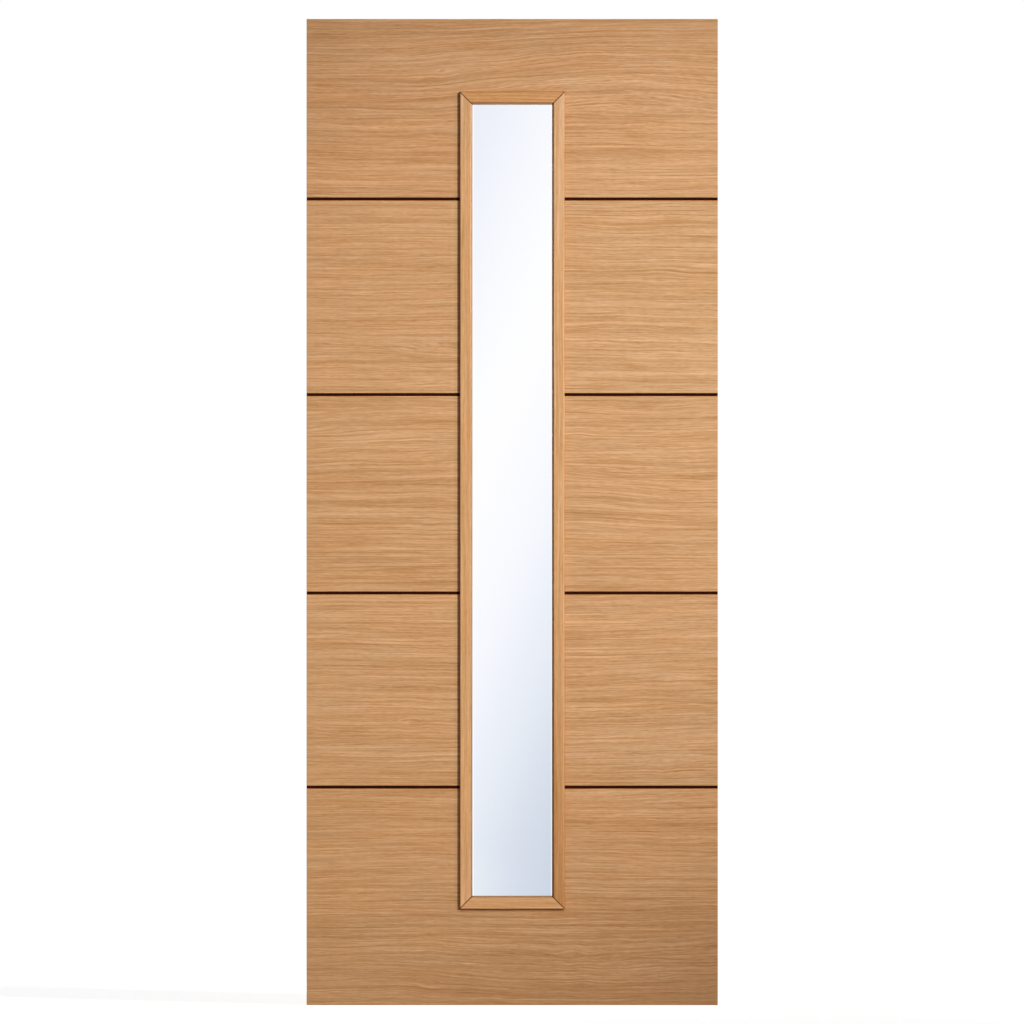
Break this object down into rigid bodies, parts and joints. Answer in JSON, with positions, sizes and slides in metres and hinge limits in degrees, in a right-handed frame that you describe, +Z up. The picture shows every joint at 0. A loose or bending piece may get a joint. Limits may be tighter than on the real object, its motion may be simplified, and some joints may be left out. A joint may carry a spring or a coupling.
{
  "type": "glazed interior door leaf",
  "caption": "Flush solid-core interior door leaf in oak veneer, with grooves across both faces and a tall narrow pane held by mitred beads.",
  "frame": {"origin": "foot of the hinge edge, in the middle of the leaf's thickness", "axes": "+X across the leaf from the hinge edge to the lock edge, +Y through the thickness towards the back face, +Z up"},
  "size_m": [0.826, 0.047, 1.981],
  "materials": {
    "oak": "satin lacquer",
    "oak_veneer": "satin lacquer",
    "dark_inlay": "matt, stained",
    "fibreboard": "raw board",
    "core_timber": "raw softwood",
    "glass": "clear, polished",
    "tape": "matt foam",
    "setting_block": "matt, moulded"
  },
  "bodies": {
    "root": {"left_lipping": "oak", "right_lipping": "oak", "front_bead_left": "oak", "front_bead_right": "oak", "front_bead_top": "oak", "front_bead_bottom": "oak", "back_bead_left": "oak", "back_bead_right": "oak", "back_bead_top": "oak", "back_bead_bottom": "oak", "front_veneer_top": "oak_veneer", "front_veneer_upper": "oak_veneer", "front_veneer_middle": "oak_veneer", "front_veneer_lower": "oak_veneer", "front_veneer_bottom": "oak_veneer", "back_veneer_top": "oak_veneer", "back_veneer_upper": "oak_veneer", "back_veneer_middle": "oak_veneer", "back_veneer_lower": "oak_veneer", "back_veneer_bottom": "oak_veneer", "front_inlay_1": "dark_inlay", "front_inlay_2": "dark_inlay", "front_inlay_3": "dark_inlay", "front_inlay_4": "dark_inlay", "back_inlay_1": "dark_inlay", "back_inlay_2": "dark_inlay", "back_inlay_3": "dark_inlay", "back_inlay_4": "dark_inlay", "front_skin": "fibreboard", "back_skin": "fibreboard", "left_stile": "core_timber", "right_stile": "core_timber", "top_rail": "core_timber", "bottom_rail": "core_timber", "left_trimmer": "core_timber", "right_trimmer": "core_timber", "left_core_board": "core_timber", "right_core_board": "core_timber", "glass_pane": "glass", "front_glazing_tape": "tape", "back_glazing_tape": "tape", "left_setting_block": "setting_block", "right_setting_block": "setting_block"}
  },
  "joints": []
}
